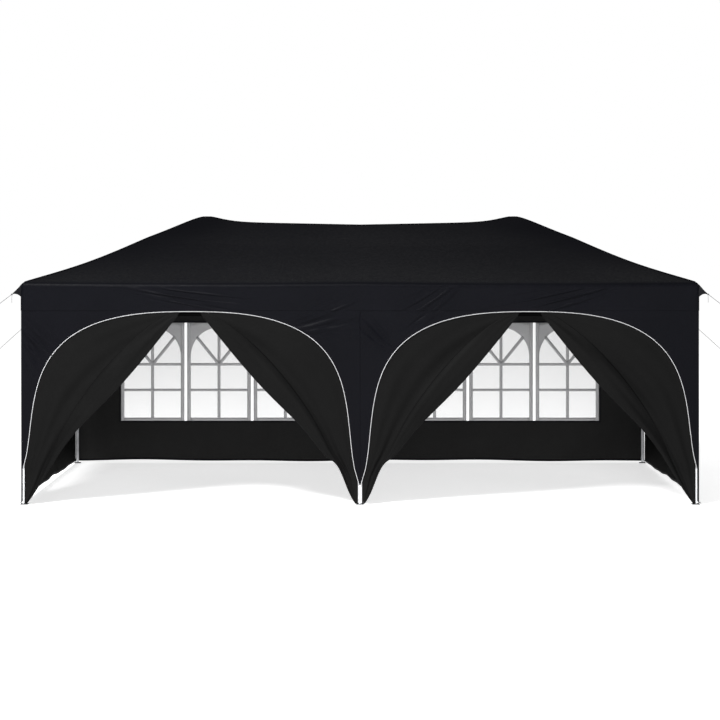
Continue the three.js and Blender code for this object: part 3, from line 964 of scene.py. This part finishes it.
def build_leaf(side, towards):
    """A door leaf. towards is +1 for the leaf at the corner leg, -1 for the one at the centre."""
    name = f"door_leaf_{side_name(side)}_{'outer' if towards > 0 else 'inner'}"
    rows = 110
    s = np.linspace(0, 1, rows)
    rim = arch_side(LEAF_FOOT_Z, 400, CORNER_FLARE if towards > 0 else CENTRE_FLARE)[::-1]
    rim = rim[rim[:, 0] > 0.085]
    rim = resample(rim, rows)
    rim[:, 0] = np.minimum(rim[:, 0], OUTER_LIMIT if towards > 0 else INNER_LIMIT)
    edge = free_edge(s, towards)
    to_rim = unit(rim - edge + 1e-9)
    gap = np.linalg.norm(rim - edge, axis=1)
    turned = TURNED_BACK * np.sin(math.pi * np.clip(s * 0.92 + 0.05, 0, 1)) * (1 - 0.85 * s)
    turned = np.minimum(turned, gap * 0.72)
    swell = np.sin(math.pi * s) ** 0.8
    grid, cloth = [], []
    for v in np.linspace(0, 1, 44):
        flat = rim + (edge - rim) * v
        grid.append(np.stack([flat[:, 0], leaf_depth(v, s, towards), flat[:, 1]], axis=1))
        cloth.append(v * gap)
    base_y = grid[-1][:, 1]
    bend = 0.0035 + 0.0035 * swell
    for t in np.linspace(0, math.pi, 7)[1:]:
        flat = edge - to_rim * (np.sin(t) * bend * 0.8)[:, None]
        y = base_y - bend * (1 - np.cos(t))
        grid.append(np.stack([flat[:, 0], y, flat[:, 1]], axis=1))
        cloth.append(gap + t * bend)
    for w in np.linspace(0, 1, 18)[1:]:
        flat = edge + to_rim * (turned * w)[:, None]
        under = leaf_depth(1 - turned * w / np.maximum(gap, 1e-3), s, towards)
        puff = 0.014 * np.sin(math.pi * w) ** 0.8 * swell
        pleat = 0.006 * swell * (1 - s) * np.cos(2 * math.pi * (2.1 * w + 0.6 * s)) * math.sin(math.pi * w)
        settle = base_y - 2 * bend + (under - 0.0022 - base_y + 2 * bend) * w ** 0.7
        y = np.minimum(settle - puff - pleat, under - 0.0020)
        grid.append(np.stack([flat[:, 0], y, flat[:, 1]], axis=1))
        cloth.append(gap + math.pi * bend + turned * w)
    points = np.array(grid)
    u = ARCH_CENTRE + towards * points[..., 0]
    placed = np.stack([side * u, points[..., 1] - WALL_Y + 0.0012, points[..., 2]], axis=2)
    uv = np.stack([np.array(cloth), np.broadcast_to(s * 2.1, np.array(cloth).shape)], axis=2)
    mesh = mesh_from_grid(name, placed, uv)
    clean(mesh, 1e-5)
    piece = new_object(name, mesh, DOOR_BLACK)
    thicken(piece, CLOTH)
    on_front(piece)


# ---------------------------------------------------------------- walls with windows

WINDOW = {"wide": 0.660, "gap": 0.028, "count": 3, "low": 0.430, "top": 1.452}
FRAME_SIDE = 0.038
FRAME_FOOT = 0.036
MUNTIN = 0.031
MUNTIN_LEVELS = (0.752, 1.017)
ARCH_SPRING = 1.100
ARCH_CROWN = 1.398
FAN_DEGREES = 39
FILM_THICK = 0.0005
PRINT_THICK = 0.0003
TAPE_LIFT = CLOTH / 2 + 0.0001   # from the middle of the cloth to the back of a tape on it


def window_starts(centre):
    total = WINDOW["count"] * WINDOW["wide"] + (WINDOW["count"] - 1) * WINDOW["gap"]
    pitch = WINDOW["wide"] + WINDOW["gap"]
    return [centre - total / 2 + k * pitch for k in range(WINDOW["count"])]


def wall_lines(low, high, holes, step=0.022):
    """Grid lines from low to high that pass through every edge of the holes."""
    stops = sorted({low, high, *[x for pair in holes for x in pair]})
    lines = [np.linspace(a, b, max(2, int(math.ceil((b - a) / step)) + 1))[:-1]
             for a, b in zip(stops, stops[1:])]
    return np.concatenate([*lines, [high]])


def wall_depth(u, z, seed):
    """Out-of-plane waves of a hung wall: still at its top, looser at its hem."""
    loose = np.clip((WALL_TOP - z) / WALL_TOP, 0, 1)
    return ripples(u, z, 0.016, seed=seed, low=2.0, high=9.0) * loose * 0.6


def facing(place, u, depth, z):
    """The row-frame direction of one step along a wall's u, depth and z."""
    step = [np.full(1, float(value)) for value in (u, depth, z)]
    return (place(*step) - place(*np.zeros((3, 1))))[0]


def build_wall(name, half, hem, centres, place, hem_lift, seed, rider, replaced, cloth):
    """A hung wall with window bands. place(u, depth, z) puts a point in the row frame."""
    bands = [(window_starts(c)[0], window_starts(c)[-1] + WINDOW["wide"]) for c in centres]
    us = wall_lines(-half, half, bands)
    zs = wall_lines(hem, WALL_TOP, [(WINDOW["low"], WINDOW["top"])])
    u, z = np.meshgrid(us, zs)
    skip = np.zeros((len(zs) - 1, len(us) - 1), dtype=bool)
    mid_u = (us[1:] + us[:-1]) / 2
    mid_z = (zs[1:] + zs[:-1]) / 2
    for low, high in bands:
        inside = (mid_u > low) & (mid_u < high)
        skip |= inside[None] & ((mid_z > WINDOW["low"]) & (mid_z < WINDOW["top"]))[:, None]
    reach = np.clip((WINDOW["low"] - z) / (WINDOW["low"] - hem), 0, 1)
    lifted = z + hem_lift(u) * reach ** 1.5
    depth = wall_depth(u, z, seed)
    points = place(u, depth, lifted)
    piece = new_object(name, mesh_from_grid(name, points, np.stack([u, z], axis=2), skip), cloth)
    clean(piece.data)
    thicken(piece, CLOTH)
    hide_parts(replaced)
    rider(piece, "wall_fabric")

    hem_u = np.linspace(-half + 0.002, half - 0.002, 160)
    hem_z = hem + 0.012 + hem_lift(hem_u)
    border = []
    for sign in (-1, 1):
        line = place(hem_u, wall_depth(hem_u, hem_z, seed) + sign * TAPE_LIFT, hem_z)
        out = facing(place, 0, sign, 0)
        border.append(closed_strip(f"{name}_hem_{sign}", line, (0, 0, 1), out, 0.020, 0.0011, SEAM))
    for low, high in bands:
        border += window_border(name, low, high, place, seed)
    rider(merge(f"{name}_hems", border), "wall_fabric")
    for k, (low, high) in enumerate(bands):
        build_windows(f"{name}_window_{k}", low, place, seed, rider)


def window_border(name, low, high, place, seed):
    """The sewn border round a window band, on both faces."""
    bottom, top = WINDOW["low"], WINDOW["top"]
    reach = 0.009
    runs = [
        (np.linspace(low, high, 60), np.full(60, bottom - reach + 0.004), (0, 0, 1)),
        (np.linspace(low, high, 60), np.full(60, top + reach - 0.004), (0, 0, 1)),
        (np.full(40, low - reach + 0.004), np.linspace(bottom - 0.015, top + 0.015, 40), None),
        (np.full(40, high + reach - 0.004), np.linspace(bottom - 0.015, top + 0.015, 40), None),
    ]
    strips = []
    for k, (u, z, across) in enumerate(runs):
        for sign in (-1, 1):
            line = place(u, wall_depth(u, z, seed) + sign * TAPE_LIFT, z)
            strips.append(closed_strip(f"{name}_border_{k}_{sign}", line,
                                       across or facing(place, 1, 0, 0), facing(place, 0, sign, 0),
                                       0.018, 0.0010, SEAM))
    return strips


def film_patch(name, us, zs, place, seed, material):
    u, z = np.meshgrid(us, zs)
    return thin_piece(name, place(u, wall_depth(u, z, seed), z), u, z, material, FILM_THICK)


def ribbon(name, centre_line, width, place, seed, offset):
    """A printed bar along a line of (u, z) points."""
    centre_line = np.asarray(centre_line, float)
    line = resample(centre_line, int(lengths_along(centre_line)[-1] / 0.03) + 2)
    step = unit(np.gradient(line, axis=0))
    normal = np.stack([-step[:, 1], step[:, 0]], axis=1)
    rows = np.stack([line - normal * width / 2, line + normal * width / 2], axis=0)
    u, z = rows[..., 0], rows[..., 1]
    points = place(u, wall_depth(u, z, seed) + offset, z)
    return thin_piece(name, points, u, z, PRINT, PRINT_THICK)


def build_windows(name, start, place, seed, rider):
    """Clear film across the band, with printed frames, glazing bars and fan lights."""
    films, gaps, prints = [], [], []
    zs = np.linspace(WINDOW["low"], WINDOW["top"], 36)
    for k in range(WINDOW["count"]):
        left = start + k * (WINDOW["wide"] + WINDOW["gap"])
        right = left + WINDOW["wide"]
        us = np.linspace(left, right, 24)
        films.append(film_patch(f"{name}_film_{k}", us, zs, place, seed, PANE))
        if k + 1 < WINDOW["count"]:
            us = np.linspace(right, right + WINDOW["gap"], 3)
            gaps.append(film_patch(f"{name}_gap_{k}", us, zs, place, seed, GAP_FILM))
        prints += window_print(f"{name}_print_{k}", left, right, place, seed)
    rider(merge(f"{name}_film", films), "window_film")
    rider(merge(f"{name}_gap_film", gaps), "window_film")
    rider(merge(f"{name}_print", prints), "window_print")


def fan_reach(half, turn):
    """How far a glazing bar runs from the fan's centre to the window's arch."""
    runs = np.linspace(0.05, 0.6, 400)
    level = MUNTIN_LEVELS[1] + runs * math.cos(turn) - ARCH_SPRING
    outside = (runs * math.sin(turn) / half) ** 2 + (np.maximum(level, 0) / (ARCH_CROWN - ARCH_SPRING)) ** 2
    return runs[np.argmax(outside > 1)]


def window_print(name, left, right, place, seed):
    centre = (left + right) / 2
    low, top = WINDOW["low"], WINDOW["top"]
    inner_low = low + FRAME_FOOT
    half = WINDOW["wide"] / 2 - FRAME_SIDE
    layer = {"frame": -0.0007, "up": -0.0011, "across": -0.0015, "fan": -0.0019}
    fan_from = MUNTIN_LEVELS[1]
    parts = []
    for side in (-1, 1):
        x = centre + side * (half + FRAME_SIDE / 2)
        parts.append(([(x, low), (x, top)], FRAME_SIDE, "frame"))
    parts.append(([(centre - half, low + FRAME_FOOT / 2), (centre + half, low + FRAME_FOOT / 2)],
                  FRAME_FOOT, "frame"))
    parts.append(([(centre, inner_low), (centre, ARCH_CROWN + 0.01)], MUNTIN, "up"))
    for level in MUNTIN_LEVELS:
        parts.append(([(centre - half, level), (centre + half, level)], MUNTIN * 0.85, "across"))
    for side in (-1, 1):
        turn = math.radians(FAN_DEGREES)
        reach = fan_reach(half, turn) + 0.012
        parts.append(([(centre, fan_from), (centre + side * reach * math.sin(turn),
                                            fan_from + reach * math.cos(turn))], MUNTIN, "fan"))
    made = [ribbon(f"{name}_{k}", line, width, place, seed, layer[kind])
            for k, (line, width, kind) in enumerate(parts)]
    turns = np.linspace(0, math.pi, 41)
    arch_u = centre - half * np.cos(turns)
    arch_z = ARCH_SPRING + (ARCH_CROWN - ARCH_SPRING) * np.sin(turns)
    rise = np.linspace(0, 1, 7)[:, None]
    u = np.broadcast_to(arch_u, (7, 41))
    z = arch_z[None] * (1 - rise) + top * rise
    points = place(u, wall_depth(u, z, seed) + layer["frame"], z)
    return [*made, thin_piece(f"{name}_crown", points, u, z, PRINT, PRINT_THICK)]


def place_back(u, depth, z):
    return np.stack([u, WALL_Y + depth, z], axis=-1)


def place_end(side):
    def place(u, depth, z):
        return np.stack([np.full_like(u, side * WALL_X) + side * depth, u, z], axis=-1)
    return place


def back_lift(u):
    return -0.016 + 0.006 * np.sin(2.1 * u) + 0.004 * np.sin(5.3 * u + 1)


def end_lift(u):
    """The end walls' hem trails near the back legs and rides up a little towards the doors."""
    hump = np.clip(1 - (u / LEG_Y) ** 2, 0, 1)
    towards_doors = 0.5 - 0.5 * u / LEG_Y
    return -0.012 + hump * (0.045 * towards_doors + 0.006 * np.sin(6.5 * u + 0.6) + 0.004 * np.sin(13 * u))


def build_walls():
    build_wall("back_wall_cloth", WALL_END_X, BACK_HEM, (-LEG_X / 2, LEG_X / 2), place_back, back_lift,
               21, on_back, "back_wall", BACK_WALL_PAINTED_LIGHT)
    for side in (-1, 1):
        name = side_name(side)
        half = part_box("end_wall_left")[1].y
        build_wall(f"end_wall_cloth_{name}", half, END_HEM, (0.0,), place_end(side), end_lift,
                   31 + side, lambda piece, slot, side=side: on_end(piece, side, slot),
                   f"end_wall_{name}", END_WALL_PAINTED_SHADE)


# ---------------------------------------------------------------- ropes and small pieces

TAB_LONG = 0.062
TAB_ROOT = 0.014                 # how far the gusset's base lies inside the rounded corner
TAB_RISE = 0.060
TAB_FALL = 0.046
TAB_Z = 1.848
TAB_ALONG = (0.83, 0.52, -0.20)
ROPE_R = 0.002
ROPE_LOOP = 0.026
TAIL_LONG = 0.068
BUTTON_Z = 0.4275                # the hole in an outer leg that an inner leg's button clicks into
BUTTON_R = 0.0045
ROPES = {
    "front": {"y": -1, "along": (0.66, 0.50, -0.56), "straight": 0.280},
    "back": {"y": 1, "along": (0.73, 0.30, -0.62), "straight": 1.165},
}


def rope_route(side, end):
    """The same route as the rope's CAD solid: straight from its tab, then an open loop."""
    rope = ROPES[end]
    signs = np.array([side, rope["y"], 1])
    corner = np.array([TAB_X * side, TAB_Y * rope["y"], TAB_Z])
    start = corner + unit(np.array(TAB_ALONG) * signs) * (TAB_LONG + 0.0006 + ROPE_R)
    forward = unit(np.array(rope["along"]) * signs)
    up = unit(np.array([0, 0, 1.0]) - forward * forward[2])
    straight = rope["straight"]
    stops = [start + forward * straight * t for t in (0, 0.25, 0.5, 0.75, 0.92, 1)]
    centre = straight + 1.5 * ROPE_LOOP
    for degrees in (50, 90, 135, 180, 225, 270, 310, 335):
        t = math.radians(degrees)
        stops.append(start + forward * (centre - ROPE_LOOP * math.cos(t)) + up * ROPE_LOOP * math.sin(t))
    return np.array(stops), forward, up


def between(a, b, low, high, t):
    return (a * (high - t) + b * (t - low)) / (high - low)


def smooth_line(stops, per_span=10):
    """A Catmull-Rom line through the stops, with knots by the root of their distances."""
    padded = np.concatenate([[2 * stops[0] - stops[1]], stops, [2 * stops[-1] - stops[-2]]])
    line = []
    for i in range(1, len(padded) - 2):
        span = padded[i - 1:i + 3]
        gaps = np.maximum(np.linalg.norm(np.diff(span, axis=0), axis=1), 1e-6) ** 0.5
        knots = np.concatenate([[0.0], np.cumsum(gaps)])
        for t in np.linspace(knots[1], knots[2], per_span, endpoint=False):
            a = [between(span[k], span[k + 1], knots[k], knots[k + 1], t) for k in range(3)]
            b = [between(a[k], a[k + 1], knots[k], knots[k + 2], t) for k in range(2)]
            line.append(between(*b, knots[1], knots[2], t))
    line.append(stops[-1])
    return np.array(line)


def wrap_knot(name, centre, axis, radius, turns, pitch, cord_r):
    """A whipping of cord round a line, with its turns side by side."""
    axis = unit(axis)
    side = unit(np.cross(axis, (0.3, 0.2, 1.0)))
    other = np.cross(axis, side)
    angles = np.linspace(0, 2 * math.pi * turns, int(18 * turns))
    path = np.array([centre + axis * pitch * (a / (2 * math.pi) - turns / 2) +
                     radius * (side * math.cos(a) + other * math.sin(a)) for a in angles])
    return tube(name, path, cord_r, CORD, sides=8)


def build_ropes():
    for side in (-1, 1):
        for end in ROPES:
            name = f"{end}_{side_name(side)}"
            body = f"{name}_leg"
            stops, forward, up = rope_route(side, end)
            line = smooth_line(stops)
            length = lengths_along(line)[-1]
            rope = tube(f"guy_rope_cord_{name}", resample(line, 160), ROPE_R, CORD)
            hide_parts(f"guy_rope_{name}")
            start = stops[0]
            knot = wrap_knot(f"rope_knot_a_{name}", start + forward * 0.012, forward, 0.0042, 3, 0.0042,
                             ROPE_R)
            down = np.array([0, 0, -1.0])
            fall = [start + forward * (0.010 + 0.003 * math.sin(2 * t)) + down * (0.004 + TAIL_LONG * t)
                    for t in (0, 0.15, 0.35, 0.6, 0.8, 1.0)]
            tail = tube(f"rope_knot_b_{name}", smooth_line(np.array(fall), 6), 0.0014, CORD, sides=8)
            lash_at = start + forward * (ROPES[end]["straight"] + 0.004) + up * 0.003
            lash = wrap_knot(f"rope_knot_c_{name}", lash_at, forward, 0.0058, 4, 0.0042, ROPE_R)
            knots = merge(f"rope_knots_{name}", [knot, tail, lash])
            tab = build_tab(side, end, name)
            for piece in (rope, knots):
                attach(piece, body)
            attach(tab, body)
            [tuple(p) for p in resample(line, 160)]


def build_tab(side, end, name):
    """A triangular webbing gusset sewn to a canopy corner, with its tip folded for the rope."""
    signs = np.array([side, ROPES[end]["y"], 1])
    along = unit(np.array(TAB_ALONG) * signs)
    corner = np.array([TAB_X * side, TAB_Y * ROPES[end]["y"], TAB_Z])
    across = unit(np.cross((0, 0, 1.0), along))
    reach = np.linspace(-TAB_ROOT, TAB_LONG + 0.002, 26)
    share = np.linspace(0, 1, len(reach))
    middle_line = corner + along * reach[:, None]
    top = middle_line.copy()
    top[:, 2] += 0.005 + TAB_RISE * (1 - share) ** 1.15
    low = middle_line.copy()
    low[:, 2] -= 0.005 + TAB_FALL * (1 - share) ** 2.2
    part = np.linspace(0, 1, 12)[:, None, None]
    wave = 0.0022 * np.sin(7 * part + 5 * share[None, :, None])
    grid = top[None] * (1 - part) + low[None] * part + across * wave
    u = np.broadcast_to(reach, grid.shape[:2])
    v = np.broadcast_to(part[..., 0] * 0.03, grid.shape[:2])
    web = thin_piece(f"tab_web_{name}", grid, u, v, WEBBING, 0.0018)
    out = np.cross(along, across)
    path = np.array([corner + along * t for t in np.linspace(TAB_LONG - 0.022, TAB_LONG + 0.002, 8)])
    fold = closed_strip(f"tab_fold_{name}", path + out * 0.0015, across, out, 0.022, 0.0016, WEBBING)
    return merge(f"corner_tab_{name}", [web, fold])


LEGS = [f"{row}_{place}" for row in ("front", "back") for place in ("left", "centre", "right")]
PEG_OUT = 0.024                  # from the leg's middle to the hole in its foot plate, in X and Y
PEG_R = 0.0032


def build_pegs():
    """The head of a ground peg in each foot plate's hole."""
    up = np.array([0.0, 0.0, 1.0])
    for name in LEGS:
        low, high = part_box(f"inner_leg_{name}")
        cx, cy = (low.x + high.x) / 2, (low.y + high.y) / 2
        hole = np.array([cx + PEG_OUT * (-1 if cx < 0 else 1), cy + PEG_OUT * (1 if cy > 0 else -1), 0])
        inward = np.array([cx - hole[0], 0, 0])
        inward = unit(inward) if np.linalg.norm(inward) else np.array([1.0, 0, 0])
        stops = np.array([hole + up * 0.0005, hole + up * 0.008, hole + up * 0.016,
                          hole + up * 0.021 - inward * 0.004, hole + up * 0.019 - inward * 0.011,
                          hole + up * 0.012 - inward * 0.014])
        peg = tube(f"ground_peg_{name}", smooth_line(stops, 8), PEG_R, STEEL, sides=12)
        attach(peg, f"inner_leg_{name}")


def build_leg_buttons():
    """The spring button that locks each inner leg, in the foot of the outer leg."""
    for name in LEGS:
        side = -1 if name.startswith("front") else 1
        leg = middle(f"inner_leg_{name}")
        face = leg.y + side * 0.015
        stops = np.array([[leg.x, face + side * out, BUTTON_Z] for out in (-0.002, 0.0008, 0.0018, 0.0022)])
        button = tube(f"leg_button_{name}", stops, BUTTON_R * np.array([1, 1, 0.8, 1 / 3]), SILVER, 16)
        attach(button, f"{name}_leg")


def dress_frame():
    for name, node in frame["nodes"].items():
        if node.hide_render:
            continue
        fitting = name.startswith(("slider", "peak_joint"))
        node.data.materials.clear()
        coat = FOOTED if name.startswith("inner_leg") else SILVER
        node.data.materials.append(NYLON if fitting else coat)


# ---------------------------------------------------------------- scene


def build_stage():
    floor_mesh = bpy.data.meshes.new("floor")
    reach = 60
    floor_mesh.from_pydata([(-reach, -reach, 0), (reach, -reach, 0), (reach, reach, 0), (-reach, reach, 0)],
                           [], [(0, 1, 2, 3)])
    pale = new_material("pale_floor").coat(Base_Color=(0.90, 0.90, 0.90, 1), Roughness=0.9,
                                           Emission_Color=(1, 1, 1, 1), Emission_Strength=0.66)
    floor = new_object("floor", floor_mesh, pale)
    floor.location.z = -0.001


def area_light(name, place, target, size, power):
    light = bpy.data.lights.new(name, "AREA")
    light.shape = "RECTANGLE"
    light.size, light.size_y = size
    light.energy = power
    lamp = bpy.data.objects.new(name, light)
    lamp.location = place
    lamp.rotation_euler = (Vector(target) - Vector(place)).to_track_quat("-Z", "Y").to_euler()
    bpy.context.scene.collection.objects.link(lamp)


SKY_LIGHT = 0.38                 # how much the white backdrop lights the object


def build_light():
    world = bpy.data.worlds.new("studio")
    n = Nodes(world)
    seen = n.new("ShaderNodeLightPath").outputs["Is Camera Ray"]
    background = n.named["Background"].inputs
    background["Color"].default_value = (1.0, 1.0, 1.0, 1)
    n.link(n.math("ADD", n.times(seen, 1 - SKY_LIGHT), SKY_LIGHT), background["Strength"])
    bpy.context.scene.world = world
    area_light("front", (0, -19, 2.4), (0, 0, 1.0), (12, 2.5), 900)
    area_light("key", (-4, -7, 9.5), (0, -1.4, 1.2), (2.5, 2), 2100)
    area_light("fill", (10, -12, 5), (0, 0, 1.2), (5, 4), 200)


CAMERA_BACK = 15.5               # from the front legs to the camera
CAMERA_HIGH = 2.27
FOCAL_WIDTHS = 2.473611          # focal length in picture widths
HORIZON_SHIFT = -0.162


def build_camera():
    camera = bpy.data.cameras.new("camera")
    camera.sensor_width = 36
    camera.lens = 36 * FOCAL_WIDTHS
    camera.shift_y = HORIZON_SHIFT
    camera.clip_end = 200
    holder = bpy.data.objects.new("camera", camera)
    holder.location = (0, -LEG_Y - CAMERA_BACK, CAMERA_HIGH)
    holder.rotation_euler = (math.pi / 2, 0, 0)
    bpy.context.scene.collection.objects.link(holder)
    bpy.context.scene.camera = holder
    bpy.context.scene.view_settings.view_transform = "Standard"
    bpy.context.scene.view_settings.look = "None"


build_camera()
build_ropes()
build_canopy_seams(*build_canopy())
for side in (-1, 1):
    arch = build_front_panel(side)
    build_zip(side, arch)
    build_header(side)
    for towards in (-1, 1):
        build_leaf(side, towards)
build_centre_tape()
build_walls()
build_pegs()
build_leg_buttons()
dress_frame()
build_stage()
build_light()
